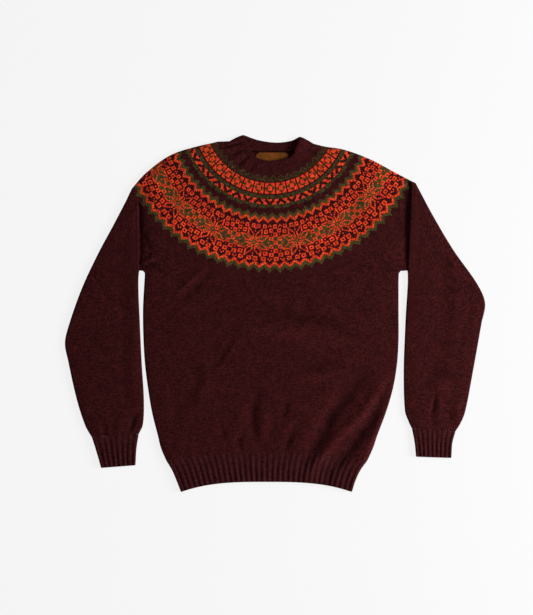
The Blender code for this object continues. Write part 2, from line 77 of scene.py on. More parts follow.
def curveAt(rows, place):  # a smooth curve through the rows, read at a place counted in rows
    rows = np.asarray(rows, float)
    i = min(int(place), len(rows) - 2)
    t = place - i

    def slope(k):
        low, high = max(k - 1, 0), min(k + 1, len(rows) - 1)
        return (rows[high] - rows[low]) / lengths[low:high].sum()

    lengths = np.linalg.norm(np.diff(rows, axis=0), axis=1)
    step = lengths[i]
    return (
        rows[i] * (2 * t**3 - 3 * t**2 + 1)
        + slope(i) * step * (t**3 - 2 * t**2 + t)
        + rows[i + 1] * (3 * t**2 - 2 * t**3)
        + slope(i + 1) * step * (t**3 - t**2)
    )


def smoothLine(points, steps=72):
    last = len(points) - 1
    return np.array([curveAt(points, last * k / steps) for k in range(steps + 1)])


def lineMarks(line):  # how far along the line each of its points lies
    return np.concatenate(([0.0], np.cumsum(np.linalg.norm(np.diff(line, axis=0), axis=1))))


def readLine(line, distance):
    marks = lineMarks(line)
    return np.column_stack([np.interp(distance, marks, line[:, k]) for k in (0, 1)])


def evenLine(line, steps=96):  # the same line with points spaced evenly
    return readLine(line, np.linspace(0, lineMarks(line)[-1], steps + 1))


# How the cloth lies


def roundFold(share, length, radius):
    # plan distance and lift of points that are spaced evenly on the cloth
    quarter = radius * math.pi / 2
    cloth = share * (length - 2 * radius + 2 * quarter)
    far = length - 2 * radius + 2 * quarter - cloth
    nearTurn = np.clip(cloth / quarter, 0, 1) * math.pi / 2
    farTurn = np.clip(far / quarter, 0, 1) * math.pi / 2
    near = radius * (1 - np.cos(nearTurn)) + np.maximum(0, cloth - quarter)
    back = radius * (1 - np.cos(farTurn)) + np.maximum(0, far - quarter)
    distance = np.where(cloth < far, near, length - back)
    return distance, np.sin(np.minimum(nearTurn, farTurn))


def foldSum(x, y, folds):  # height that soft folds add: width, rise and the line they run along
    total = np.zeros_like(x)
    for width, rise, *line in folds:
        line = np.array(line, float)
        marks = lineMarks(line)
        nearest = np.full(x.shape, np.inf)
        share = np.zeros_like(x)
        for start, end, mark, nextMark in zip(line, line[1:], marks, marks[1:]):
            run = end - start
            along = ((x - start[0]) * run[0] + (y - start[1]) * run[1]) / (run @ run)
            along = np.clip(along, 0, 1)
            away = (x - start[0] - run[0] * along) ** 2 + (y - start[1] - run[1] * along) ** 2
            closer = away < nearest
            nearest = np.where(closer, away, nearest)
            share = np.where(closer, (mark + along * (nextMark - mark)) / marks[-1], share)
        middle = np.sin(math.pi * np.clip(share, 0.0, 1.0)) ** lay["softEase"]
        fade = lay["softEnd"] + (1 - lay["softEnd"]) * middle
        total += rise * fade * np.exp(-nearest / width**2)
    return total


def softLumps(x, y):
    waves = (  # length across, length up, phase and size
        (71, 23, 0.4, 1.0),
        (-38, 59, 1.9, 0.8),
        (19, -31, 2.7, 0.4),
        (27, 14, 5.1, 0.3),
        (9, 41, 1.2, 0.14),
        (-12, 17, 3.6, 0.12),
    )
    total = sum(size * np.sin(x / a + y / b + phase) for a, b, phase, size in waves)
    return lay["lump"] * total


def frontTop(x, y, room, folds, rest, hold):  # height of the front's outer side
    swell = 1 - np.exp(-room / lay["pillow"])
    rise = rest - lay["edge"] + softLumps(x, y)
    held = 1 - np.exp(-((room / hold) ** 2))
    return lay["edge"] + rise * swell + foldSum(x, y, folds) * held


def layerPoints(
    line, shares, isFront, folds=(), rest=lay["rest"], depth=1.0, inset=0.0, hold=lay["hold"]
):
    # one layer of cloth between two folds, as deep as depth says; inset gives a wall's inner side
    marks = lineMarks(line)
    radius = max(lay["foldRadius"] - inset, lay["leastRadius"])
    distance, lift = roundFold(shares, marks[-1] - 2 * inset, radius)
    distance = distance + inset
    xy = readLine(line, distance)
    lift = 1 - (1 - lift) * depth
    if isFront:
        room = np.minimum(distance, marks[-1] - distance)
        top = frontTop(xy[:, 0], xy[:, 1], room, folds, rest, hold) - inset
        z = lay["foldLine"] + (top - lay["foldLine"]) * lift
    else:
        z = lay["foldLine"] - (lay["foldLine"] - lay["under"] - inset) * lift
    return np.column_stack([xy, z])


def denseShares(count, length):  # closer columns at the folds
    extra = np.array(lay["nearFold"]) / length
    return np.unique(np.round(np.concatenate([np.linspace(0, 1, count + 1), extra, 1 - extra]), 6))


def ringPoints(front, back, frontShares, backShares, folds, rest=lay["rest"], inset=0.0):
    # the front from its right fold to its left one, then the back home again
    over = layerPoints(front, frontShares, True, folds, rest, inset=inset)
    under = layerPoints(back, backShares, False, inset=inset)
    return np.concatenate([over, under[-2:0:-1]])


# Meshes


def makeCloth(name, points, faces, stitches, material, folds=(), colours=None):
    # points in drawing millimetres; stitches and colours are given for each corner of each face
    points = np.asarray(points, float)
    faces = [np.asarray(f) for f in faces]
    middle = points.mean(axis=0)
    middle[2] = lay["foldLine"]
    lead = np.array([f[:3] for f in faces])
    a, b, c = (points[lead[:, k]] - middle for k in range(3))
    if np.einsum("ij,ij->i", a, np.cross(b, c)).sum() < 0:
        faces = [f[::-1] for f in faces]
        stitches = [s[::-1] for s in stitches]
    mesh = bpy.data.meshes.new(name)
    shift = np.array([*lay["middle"], 0.0])
    mesh.from_pydata(((points - shift) / perMetre).tolist(), [], [f.tolist() for f in faces])
    mesh.uv_layers.new(name="stitches").data.foreach_set("uv", np.concatenate(stitches).ravel())
    # painted shade and light: the folds' height on the upper side, which the wool turns into
    # darker hollows and lighter ridges
    depth = foldSum(points[:, 0], points[:, 1], folds) * (points[:, 2] > lay["foldLine"])
    mesh.attributes.new("paintedFoldShade", "FLOAT", "POINT").data.foreach_set("value", depth)
    if colours is not None:
        layer = mesh.color_attributes.new(name="yarn", type="FLOAT_COLOR", domain="CORNER")
        tints = [(*yarn[colour], 1.0) for colour, face in zip(colours, faces) for _ in face]
        layer.data.foreach_set("color", np.array(tints).ravel())
    mesh.materials.append(material)
    mesh.shade_smooth()
    mesh.set_sharp_from_angle(angle=math.radians(lay["seamAngle"]))
    mesh.update()
    piece = bpy.data.objects.new(name, mesh)
    bpy.context.scene.collection.objects.link(piece)
    return piece


def gridFaces(rows, columns, isRing, isLoop=False):  # corner numbers, and their row and column
    r, c = np.mgrid[0 : rows if isLoop else rows - 1, 0 : columns if isRing else columns - 1]
    r, c = r.ravel(), c.ravel()
    cornerRows = np.stack([r, r, r + 1, r + 1], axis=1)
    cornerColumns = np.stack([c, c + 1, c + 1, c], axis=1)
    return (cornerRows % rows) * columns + cornerColumns % columns, cornerRows, cornerColumns


def clothGrid(name, rows, across, along, material, isRing, isLoop=False, folds=()):
    # across and along are stitch counts at each column of each row, one more where it closes
    points = np.array(rows)
    faces, r, c = gridFaces(points.shape[0], points.shape[1], isRing, isLoop)
    stitches = np.stack([across[r, c], along[r, c]], axis=-1)
    return makeCloth(name, points.reshape(-1, 3), faces, stitches, material, folds)


def rowMarks(points):  # how far each row lies from the first one, on average
    runs = np.linalg.norm(np.diff(points, axis=0), axis=2).mean(axis=1)
    return np.concatenate([[0.0], np.cumsum(runs)])[:, None]


def stitchCounts(rows, isRing):  # each row's stitches are counted from its middle, its own width
    points = np.array(rows)
    if isRing:
        points = np.concatenate([points, points[:, :1]], axis=1)
    steps = np.linalg.norm(np.diff(points, axis=1), axis=2)
    across = np.concatenate([np.zeros((len(points), 1)), np.cumsum(steps, axis=1)], axis=1)
    across -= across[:, across.shape[1] // (4 if isRing else 2)][:, None]
    along = rowMarks(points) * np.ones(across.shape)
    return across / lay["stitch"][0], along / lay["stitch"][1]


# Shared effects

woolLook = {
    "shader": {
        "Roughness": 0.95,
        "Specular IOR Level": 0.04,
        "Sheen Weight": 0.03,
        "Sheen Roughness": 0.6,
        "Sheen Tint": (0.8, 0.2, 0.3, 1.0),
    },
    "bump": {"Strength": 0.8, "Distance": 0.0004},
    "legPowers": (0.6, 0.4),  # how full a stitch's legs are, across and along
    "speckles": [  # scale, detail, stretch across and along, weight
        (8.0, 3.0, (1.0, 1.0), 1.3),  # fibres
        (1.0, 1.0, (1.0, 1.0), 3.0),  # darker and lighter stitches
        (0.55, 1.0, (0.6, 1.5), 2.6),  # runs of the yarn along a row
        (0.14, 2.0, (1.0, 1.0), 1.5),  # slow change over the piece
    ],
    "leastTone": 0.52,
    "paintedGapShade": 0.55,  # painted shade between the stitches
    "paintedStitchLight": 0.6,  # painted light that a stitch's full height adds to it
    "leastValue": 0.05,
    "hue": (1.1, 0.12),  # scale and spread of its change
    "fuzz": 0.5,
    "paintedFoldShadeAndLight": (0.09, 0.55, 1.3),  # painted shade in fold hollows and painted light on ridges: for each millimetre of fold, at least, and at most
    "paintedFurrowShade": (-0.09, 0.95),  # painted shade in the rib furrows: swing and middle
}


def feed(tree, node, inputs):  # a socket is linked to the input of that name, a value sets it
    for name, value in inputs.items():
        if isinstance(value, bpy.types.NodeSocket):
            tree.links.new(value, node.inputs[name])
        else:
            node.inputs[name].default_value = value


def addNode(tree, kind, inputs=(), **settings):
    node = tree.nodes.new("ShaderNode" + kind)
    for name, value in settings.items():
        setattr(node, name, value)
    feed(tree, node, dict(inputs))
    return node


def calc(tree, operation, *values):
    return addNode(tree, "Math", enumerate(values), operation=operation).outputs[0]


def newGroup(name, inputs, outputs):  # each socket's name and kind
    tree = bpy.data.node_groups.new(name, "ShaderNodeTree")
    for direction, sockets in (("INPUT", inputs), ("OUTPUT", outputs)):
        for socket, kind in sockets.items():
            tree.interface.new_socket(socket, in_out=direction, socket_type="NodeSocket" + kind)
    return tree, tree.nodes.new("NodeGroupInput").outputs, tree.nodes.new("NodeGroupOutput")


def newMaterial(name, look):
    material = bpy.data.materials.new(name)
    material.use_nodes = True
    tree = material.node_tree
    shader = tree.nodes["Principled BSDF"]
    feed(tree, shader, look)
    return material, tree, shader


def makeKnitGroup():  # V-shaped stitches: their relief, and a tone of each leg's own
    tree, given, end = newGroup(
        "knitStitch", {"Stitch": "Vector"}, {"Relief": "Float", "Leg Tone": "Float"}
    )
    split = addNode(tree, "SeparateXYZ", {0: given["Stitch"]}).outputs
    across = calc(tree, "FRACT", split[0])
    fromMiddle = calc(tree, "ABSOLUTE", calc(tree, "SUBTRACT", across, 0.5))
    slanted = calc(tree, "SUBTRACT", split[1], fromMiddle)
    along = calc(tree, "FRACT", slanted)
    legWidth = calc(tree, "SINE", calc(tree, "MULTIPLY", fromMiddle, 2 * math.pi))
    legLength = calc(tree, "SINE", calc(tree, "MULTIPLY", along, math.pi))
    widthPower, lengthPower = woolLook["legPowers"]
    legWidth = calc(tree, "POWER", calc(tree, "MAXIMUM", legWidth, 0.0), widthPower)
    legLength = calc(tree, "POWER", calc(tree, "MAXIMUM", legLength, 0.0), lengthPower)
    relief = calc(tree, "MULTIPLY", legWidth, legLength)
    halves = calc(tree, "FLOOR", calc(tree, "MULTIPLY", split[0], 2.0))
    legNumber = addNode(tree, "CombineXYZ", {0: halves, 1: calc(tree, "FLOOR", slanted)})
    number = {"Vector": legNumber.outputs[0]}
    tone = addNode(tree, "TexWhiteNoise", number, noise_dimensions="2D").outputs["Value"]
    feed(tree, end, {"Relief": relief, "Leg Tone": tone})
    return tree


def makeHeatherGroup():  # yarn of many coloured fibres, with painted shade between the stitches and painted fold shade and light, and fuzzy
    inputs = {
        "Stitch": "Vector",
        "Yarn": "Color",
        "Relief": "Float",
        "Leg Tone": "Float",
        "Heather": "Float",
        "Shade": "Float",
    }
    tree, given, end = newGroup("heatheredYarn", inputs, {"Color": "Color", "Height": "Float"})

    def speckle(scale, detail, stretch=(1.0, 1.0)):
        stretched = {"Vector": given["Stitch"], "Scale": (*stretch, 1.0)}
        place = addNode(tree, "Mapping", stretched).outputs["Vector"]
        spots = {"Vector": place, "Scale": scale, "Detail": detail}
        return addNode(tree, "TexNoise", spots).outputs["Fac"]

    spread = calc(tree, "SUBTRACT", given["Leg Tone"], 0.5)
    speckles = [(speckle(*size), weight) for *size, weight in woolLook["speckles"]]
    for layer, weight in speckles:
        part = calc(tree, "MULTIPLY", calc(tree, "SUBTRACT", layer, 0.5), weight)
        spread = calc(tree, "ADD", spread, part)
    value = calc(tree, "ADD", 1.0, calc(tree, "MULTIPLY", spread, given["Heather"]))
    value = calc(tree, "MAXIMUM", value, woolLook["leastTone"])
    # painted shade between the stitches and painted light on their tops, times the painted fold
    # shade and light
    shade = calc(tree, "MULTIPLY", given["Relief"], woolLook["paintedStitchLight"])
    shade = calc(tree, "ADD", shade, woolLook["paintedGapShade"])
    shade = calc(tree, "MULTIPLY", shade, given["Shade"])
    value = calc(tree, "MAXIMUM", calc(tree, "MULTIPLY", value, shade), woolLook["leastValue"])
    hueScale, hueSpread = woolLook["hue"]
    hue = calc(tree, "SUBTRACT", speckle(hueScale, 1.0), 0.5)
    hue = calc(tree, "MULTIPLY", calc(tree, "MULTIPLY", hue, given["Heather"]), hueSpread)
    tints = {"Hue": calc(tree, "ADD", 0.5, hue), "Value": value, "Color": given["Yarn"]}
    tint = addNode(tree, "HueSaturation", tints).outputs["Color"]
    fuzz = calc(tree, "MULTIPLY", speckles[0][0], woolLook["fuzz"])
    feed(tree, end, {"Color": tint, "Height": calc(tree, "ADD", given["Relief"], fuzz)})
    return tree


knitGroup = makeKnitGroup()
heatherGroup = makeHeatherGroup()


def makeWool(name, colour, heather, ribStitches=0):  # colour None reads each stitch's own
    material, tree, shader = newMaterial(name, woolLook["shader"])
    stitch = addNode(tree, "UVMap", uv_map="stitches").outputs["UV"]
    paintedFoldShade = addNode(tree, "Attribute", attribute_name="paintedFoldShade").outputs["Fac"]
    perRise, leastTone, mostTone = woolLook["paintedFoldShadeAndLight"]  # painted shade in the folds' hollows, painted light on their backs
    shade = calc(tree, "MULTIPLY_ADD", paintedFoldShade, perRise, 1.0)
    shade = calc(tree, "MINIMUM", calc(tree, "MAXIMUM", shade, leastTone), mostTone)
    if ribStitches:  # painted shade in the purl furrows between the ribs
        across = addNode(tree, "SeparateXYZ", {0: stitch}).outputs[0]
        turn = calc(tree, "MULTIPLY", across, 2 * math.pi / ribStitches)
        furrow = calc(tree, "MULTIPLY_ADD", calc(tree, "COSINE", turn), *woolLook["paintedFurrowShade"])
        shade = calc(tree, "MULTIPLY", shade, furrow)
    if colour is None:
        colour = addNode(tree, "VertexColor", layer_name="yarn").outputs["Color"]
    else:
        colour = (*colour, 1.0)
    knit = addNode(tree, "Group", {"Stitch": stitch}, node_tree=knitGroup).outputs
    threads = {
        "Stitch": stitch,
        "Yarn": colour,
        "Relief": knit["Relief"],
        "Leg Tone": knit["Leg Tone"],
        "Heather": heather,
        "Shade": shade,
    }
    wool = addNode(tree, "Group", threads, node_tree=heatherGroup).outputs
    bump = addNode(tree, "Bump", {**woolLook["bump"], "Height": wool["Height"]})
    feed(tree, shader, {"Base Color": wool["Color"], "Normal": bump.outputs["Normal"]})
    return material


plainWool = makeWool("plainWool", yarn["m"], 0.68)
# the ribbing's yarn is the paler copy of the maroon, a painted highlight, with painted shade in
# its furrows
ribWool = makeWool("ribWool", yarn["r"], 0.6, ribStitches=4)
bandWool = makeWool("bandWool", yarn["m"], 0.65)
patternWool = makeWool("patternWool", None, 0.62)
print("materials made")


# Yoke

yoke = {
    "centre": (-2.0, 749.0),
    "rings": [  # radius, angle to the right and to the left shoulder fold, rise of the back
        (117.2, 65.0, 60.5, 33.0),
        (155.0, 68.0, 65.6, 30.0),
        (208.0, 69.2, 67.0, 25.0),
        (270.0, 66.0, 66.0, 19.0),
        (311.4, 62.7, 65.5, 16.0),
    ],
    "steps": 96,  # along a ring's line
    "seamFront": [
        (-84, 700.5),
        (-71, 669),
        (-43, 644),
        (-1, 633.5),
        (43, 644),
        (71, 667),
        (84, 695.5),
    ],
    "seamBack": [
        (-84, 700.5),
        (-60, 689),
        (-36, 681.5),
        (0, 680),
        (36, 681),
        (60, 686),
        (84, 695.5),
    ],
    "turn": 254.8,  # degrees of pattern all round, the front's and the back's together
    "wall": 2.6,
    "inside": (1.0, 0.5, 0.18),  # the inner side's rows, in shares from the seam to the first ring
    "allowance": (0.15, 0.0),  # the seam allowance's rows, in the painted shadow of yarn s
    "allowanceDrop": 2.0,
    "outside": (0.0, 0.25, 0.5, 0.75),
    "tuck": 0.8,  # how far the last row runs under the body and the sleeves
    "folds": [  # width, rise, and the points it runs through
        (3, 1.4, (-60, 704), (-96, 695)),
        (2.6, -2.4, (-58, 697), (-100, 688)),
        (3, 1.3, (-56, 691), (-98, 680)),
        (2.6, -2.2, (-52, 684), (-94, 669)),
        (3.4, 1.2, (-50, 678), (-86, 658)),
        (3, -2.0, (-46, 670), (-80, 644)),
        (4, 1.0, (-42, 666), (-68, 634)),
        (4, -1.6, (-30, 662), (-48, 634)),
        (14, 3.4, (64, 704), (56, 690), (48, 674)),
        (4, -1.6, (62, 682), (98, 672)),
        (4, 1.0, (60, 690), (98, 682)),
        (5, -0.9, (54, 668), (84, 650)),
        (14, -1.8, (-264, 612), (-250, 560)),
        (17, -4.8, (270, 634), (277, 586)),
        (24, 1.4, (-180, 560), (-120, 470)),
        (22, -1.2, (150, 590), (190, 500)),
    ],
}

# Each chart is knitted from the neck out: m the ground, o, g and e the pattern's yarns
tufts = ["mmgmmm", "mgmemm", "gmemgm", "mgmemg", "emgmem"]
roundels = [
    "mooomooo",
    "mooeeeoo",
    "moeoooeo",
    "eeeoooee",
    "moeoooeo",
    "mooeeeoo",
    "mooomooo",
]
chevronHalf = [
    "mgegegmge",
    "mggegmgeg",
    "megemgegm",
    "oommooomm",
    "ommmoommm",
    "mmmoommmo",
    "mmooommoo",
    "gegmegegm",
    "egmgegegm",
    "mmmegegem",
]
starQuarter = [  # the axis between two stars at the left, a star's middle at the lower right
    "oo..o..ooo..ooo.",
    ".o.o.o.o.o..o.o.",
    "oo.....ooo..ooo.",
    "..ooo.....o....o",
    "..o.o.ooo.oo....",
    "..ooo.o.o.o.o..o",
    "oo....ooo.o..o..",
    ".o.o......o...o.",
    "oo...ooooo.o..o.",
    "..ooo.o...o.o.o.",
    "..o.o..o...o.oo.",
    "..ooo...o...o.o.",
    "oo.......ooooo..",
    ".o...o.........o",
]
starMiddle = 9  # rows from here to the mirrored row have an olive ground


def mirrored(rows):  # each row runs on as its own mirror image
    return [row + row[-2:0:-1] for row in rows]


def starChart():
    grounds = ["g" if number >= starMiddle else "m" for number in range(len(starQuarter))]
    rows = [row.replace(".", ground) for row, ground in zip(mirrored(starQuarter), grounds)]
    return rows + rows[-2::-1]


def zigzagChart(isOuter):  # an orange zigzag with an olive one on its outer or its neck side
    stripe = "ooggg" if isOuter else "gggoo"
    rows = []
    for row in range(8):
        depths = [row - (3 - offset if isOuter else offset) for offset in (0, 1, 2, 3, 2, 1)]
        rows.append("".join(stripe[k] if 0 <= k < len(stripe) else "m" for k in depths))
    return rows


bands = [  # inner and outer radius, repeats all round, chart, and the angle of its first stitch
    (117.2, 131.0, 36, tufts, 0.0),
    (133.2, 155.0, 29, roundels, -4.9),
    (157.6, 183.8, 17, mirrored(chevronHalf), -0.5),
    (191.5, 213.4, 52, zigzagChart(False), 1.1),
    (216.0, 289.2, 13, starChart(), 2.3),
    (289.2, 311.4, 65, zigzagChart(True), -0.4),
]


def yokeLines(radius):  # the front's line and the back's at a radius, and their folds' angles
    rings = yoke["rings"]
    place = np.interp(radius, [r[0] for r in rings], range(len(rings)))
    _, right, left, rise = curveAt(rings, place)
    angles = np.radians(np.linspace(-right, left, yoke["steps"] + 1))
    x, y = yoke["centre"]
    front = np.column_stack([x + radius * np.sin(angles), y - radius * np.cos(angles)])
    lift = rise * np.sin(np.linspace(0, math.pi, yoke["steps"] + 1)) ** 2
    return front, front + np.column_stack([0 * lift, lift]), right, left


def turnedPoints(front, back, right, left, turns, inset=0.0, drop=0.0):
    # points on a ring; turns are degrees of pattern from straight down, to the left
    turn = (turns + right) % yoke["turn"]
    span = right + left
    over = layerPoints(front, np.clip(turn / span, 0, 1), True, yoke["folds"], inset=inset)
    homeward = np.clip((turn - span) / (yoke["turn"] - span), 0, 1)
    under = layerPoints(back, 1 - homeward, False, inset=inset)
    under[:, 2] -= drop
    return np.where((turn <= span)[:, None], over, under)


def yokeRow(radius, turns):  # a row of stitches bends, so each point has a radius of its own
    points = np.zeros((len(turns), 3))
    for r in np.unique(radius):
        here = radius == r
        points[here] = turnedPoints(*yokeLines(r), turns[here])
    return points


def neckRow(share, turns, inset=0.0, drop=0.0):
    # rows between the neckband's seam and the first ring; the inner side lies one wall inside
    front, back, right, left = yokeLines(yoke["rings"][0][0])
    front = evenLine(smoothLine(yoke["seamFront"])) * (1 - share) + evenLine(front) * share
    back = evenLine(smoothLine(yoke["seamBack"])) * (1 - share) + evenLine(back) * share
    return turnedPoints(front, back, right, left, turns, inset, drop)


def halfTurns(count, first):  # half stitches all round, counted from the first one
    fold = yoke["rings"][0][1]
    return (first + (np.arange(count) - 1) * yoke["turn"] / count + fold) % yoke["turn"] - fold


def makeYoke():
    points, faces, stitches, colours = [], [], [], []
    total = 0

    def addRow(row):
        nonlocal total
        points.append(row)
        total += len(row)
        return total - len(row)

    def joinRows(low, high, count, rowText, v):
        # quads between two rows of half stitches that have the same count
        half = np.array([0.5, 0.0])
        for k in range(count):
            n = (k + 1) % count
            faces.append((low + k, low + n, high + n, high + k))
            a, b = half[k % 2], half[(k + 1) % 2]
            u0, u1 = k / 2, (k + 1) / 2
            stitches.append([(u0, v + a), (u1, v + b), (u1, v - 1 + b), (u0, v - 1 + a)])
            colours.append(rowText[(k // 2) % len(rowText)])

    def inOrder(first, turns):  # a row's point numbers and turns, closed on itself
        order = np.argsort(turns)
        numbers = [first + k for k in (*order, order[0])]
        return numbers, [*turns[order], turns[order[0]] + yoke["turn"]]

    def zipRows(low, lowTurns, high, highTurns, v, count):
        # triangles between rows of different counts, as where stitches are taken in
        lowId, lowAt = inOrder(low, lowTurns)
        highId, highAt = inOrder(high, highTurns)
        i = j = 0
        perTurn = count / 2 / yoke["turn"]
        while i < len(lowAt) - 1 or j < len(highAt) - 1:
            near, far = (lowAt[i] * perTurn, v), (highAt[j] * perTurn, v - 1)
            if j == len(highAt) - 1 or (i < len(lowAt) - 1 and lowAt[i + 1] <= highAt[j + 1]):
                faces.append((lowId[i], lowId[i + 1], highId[j]))
                stitches.append([near, (lowAt[i + 1] * perTurn, v), far])
                i += 1
            else:
                faces.append((lowId[i], highId[j + 1], highId[j]))
                stitches.append([near, (highAt[j + 1] * perTurn, v - 1), far])
                j += 1
            colours.append("m")

    # the inner side from inside the yoke up to the neck, over the seam, and out to the first band
    start, _, repeats, chart, first = bands[0]
    count = 2 * repeats * len(chart[0])
    turns = halfTurns(count, first)
    inside, allowance = yoke["inside"], yoke["allowance"]
    plain = [neckRow(share, turns, yoke["wall"]) for share in inside]
    plain += [neckRow(share, turns, yoke["wall"], yoke["allowanceDrop"]) for share in allowance]
    plain += [neckRow(share, turns) for share in yoke["outside"]]
    last, v = None, 0
    for number, row in enumerate(plain):
        this = addRow(row)
        if number:
            # the seam allowance's rows take yarn s, painted shadow along the neck seam
            isSeam = len(inside) <= number < len(inside) + len(allowance)
            joinRows(last, this, count, "s" if isSeam else "m", v)
            v -= 1
        last, lastTurns = this, turns
    for inner, outer, repeats, chart, first in bands:
        count = 2 * repeats * len(chart[0])
        turns = halfTurns(count, first)
        rowHeight = (outer - inner) / len(chart)
        zigzag = np.where(np.arange(count) % 2 == 0, 0.5 * rowHeight, 0.0)
        for number in range(len(chart) + 1):
            radius = inner + rowHeight * number - zigzag
            radius = np.clip(radius, start, outer if number < len(chart) else None)
            if number == len(chart) and outer == bands[-1][1]:
                radius = np.full(count, outer + yoke["tuck"])
            this = addRow(yokeRow(np.round(radius, 4), turns))
            if number:
                joinRows(last, this, count, chart[number - 1], v)
            elif np.array_equal(turns, lastTurns):
                joinRows(last, this, count, "m", v)
            else:
                zipRows(last, lastTurns, this, turns, v, count)
            v -= 1
            last, lastTurns = this, turns
    points = np.concatenate(points)
    stitches = [np.array(corners) for corners in stitches]
    return makeCloth("yokeKnit", points, faces, stitches, patternWool, yoke["folds"], colours)


yokePiece = makeYoke()
print("yoke knitted", len(yokePiece.data.polygons))


# Body

body = {
    "sides": [  # height, right and left side
        (62.0, -210.4, 191.6),
        (87.0, -221.0, 203.0),
        (111.0, -227.0, 211.0),
        (159.0, -239.0, 229.0),
        (207.0, -247.0, 243.0),
        (255.0, -253.0, 251.0),
        (303.0, -256.0, 254.0),
        (363.0, -257.0, 254.0),
        (422.0, -254.0, 254.0),
        (433.0, -253.3, 254.4),
        (438.5, -253.8, 255.0),
        (441.3, -256.5, 259.0),
        (441.8, -264.4, 271.6),
    ],
    "creases": (57.9, 64.6),  # where the armholes' creases meet the yoke's edge, in degrees
    "creaseFade": (0.8, 0.7),  # share of the way up from which they fade, and how much they lose
    "creaseHold": ((-6, 4.0), (3, 0.8)),  # rows above the underarm, and the hold of folds there
    "sagFrom": 0.675,  # share of the height from which the lines bend to the yoke's edge
    "arch": 16.0,  # how far the rib draws the lowest line up in the middle
    "steps": 120,  # along a line
    "width": 510.0,
    "front": (150, 60, 200),  # rows below and above the underarm, and columns
    "back": (60, 24, 90),
    "folds": [  # width, rise, and the points it runs through
        (10, -4.9, (220, 200), (200, 143), (178, 115), (150, 76), (121, 43), (108, 22)),
        (11, 5.2, (226, 226), (195, 171), (167, 143), (133, 110), (105, 76), (82, 50), (72, 24)),
        (12, -4.8, (184, 234), (150, 188), (121, 155), (99, 110), (77, 76), (66, 58)),
        (11, 3.4, (230, 160), (211, 121), (189, 76), (167, 20)),
        (13, 2.2, (120, 190), (88, 150), (66, 110), (50, 82)),
        (9, -3.4, (-27, 205), (-36, 166), (-39, 138), (-32, 108)),
        (9, 2.0, (-8, 160), (-17, 132), (-21, 108)),
        (10, 1.6, (-60, 170), (-66, 140), (-58, 112)),
        (7, -2.8, (33, 180), (26, 160), (20, 148)),
        (7, -3.2, (42, 120), (34, 100), (25, 84)),
        (9, 2.2, (48, 150), (34, 132), (16, 112)),
        (6, -2.4, (-63, 116), (-65, 100), (-62, 80)),
        (6, -2.0, (-98, 122), (-97, 104)),
        (12, -3.0, (-52, 352), (20, 352), (80, 341), (155, 320)),
        (13, 3.6, (-52, 318), (30, 315), (110, 306), (150, 294)),
        (6, 1.6, (-66, 305), (-84, 278), (-104, 244)),
        (9, -1.7, (-80, 300), (-98, 272), (-116, 246)),
        (14, -1.8, (-160, 270), (-151, 222), (-171, 168)),
        (13, 1.2, (-140, 262), (-130, 215), (-146, 168)),
        (14, -2.0, (54, 244), (96, 250), (130, 262)),
        (14, 1.9, (48, 222), (90, 226), (138, 238)),
        (5, 2.1, (-192, 390), (-165, 418), (-136, 444)),
        (7, -2.2, (-176, 384), (-150, 410), (-124, 432)),
        (7, -4.2, (-267, 604), (-266, 560), (-265, 500), (-265, 438)),
        (15, -1.4, (-262, 590), (-260, 448)),
        (7, -1.6, (-258, 512), (-242, 484)),
        (14, -4.6, (279, 616), (277, 560), (274, 500), (271, 440)),
        (19, -4.4, (260, 626), (264, 520)),
        (5, -2.8, (-264, 447), (-230, 457)),
        (4.5, 4.0, (-264, 455), (-250, 460), (-236, 467)),
        (7, -2.0, (-258, 468), (-226, 484)),
        (12, 1.4, (-236, 484), (-200, 500)),
    ],
}


def creasePoint(side):  # where an armhole's crease ends on the yoke's edge
    angle = math.radians(body["creases"][0] if side < 0 else body["creases"][1])
    radius = yoke["rings"][-1][0]
    x, y = yoke["centre"]
    return np.array([x + side * radius * math.sin(angle), y - radius * math.cos(angle)])


def underarmPoint(side):
    height, right, left = body["sides"][-1]
    return np.array([right if side < 0 else left, height])


def archShape(share):
    return 1 - np.abs(2 * share - 1) ** 3


def sideLines(sides, steps):  # the right side's line and the left side's
    return [evenLine(smoothLine([(row[k], row[0]) for row in sides]), steps) for k in (1, 2)]


def bodyLines(below, above, isFront):
    right, left = sideLines(body["sides"], below)
    steps = np.linspace(0, 1, above + 1)[1:, None]
    right = np.concatenate([right, right[-1] + (creasePoint(-1) - right[-1]) * steps])
    left = np.concatenate([left, left[-1] + (creasePoint(1) - left[-1]) * steps])
    edgeFront, edgeBack, rightAngle, leftAngle = yokeLines(yoke["rings"][-1][0])
    edge = edgeFront if isFront else edgeBack
    length = lineMarks(edge)[-1]
    span = rightAngle + leftAngle
    marks = np.array([rightAngle - body["creases"][0], rightAngle + body["creases"][1]]) / span
    shares = np.linspace(0, 1, body["steps"] + 1)
    onEdge = readLine(edge, length * (marks[0] + (marks[1] - marks[0]) * shares))
    chord = right[-1] + (left[-1] - right[-1]) * shares[:, None]
    lines = []
    for start, end in zip(right, left):
        up = (start[1] - right[0][1]) / (right[-1][1] - right[0][1])
        up = (up + (end[1] - left[0][1]) / (left[-1][1] - left[0][1])) / 2
        sag = max(0.0, (up - body["sagFrom"]) / (1 - body["sagFrom"]))
        line = start + (end - start) * shares[:, None] + (onEdge - chord) * sag
        line[:, 1] += body["arch"] * archShape(shares) * (1 - up)
        line[0], line[-1] = start, end
        lines.append(line)
    return lines


def creaseDepth(share):  # the armholes' creases grow shallow where they run out on the yoke
    fadeFrom, lost = body["creaseFade"]
    return 1 - lost * np.clip((share - fadeFrom) / (1 - fadeFrom), 0, 1) ** 2


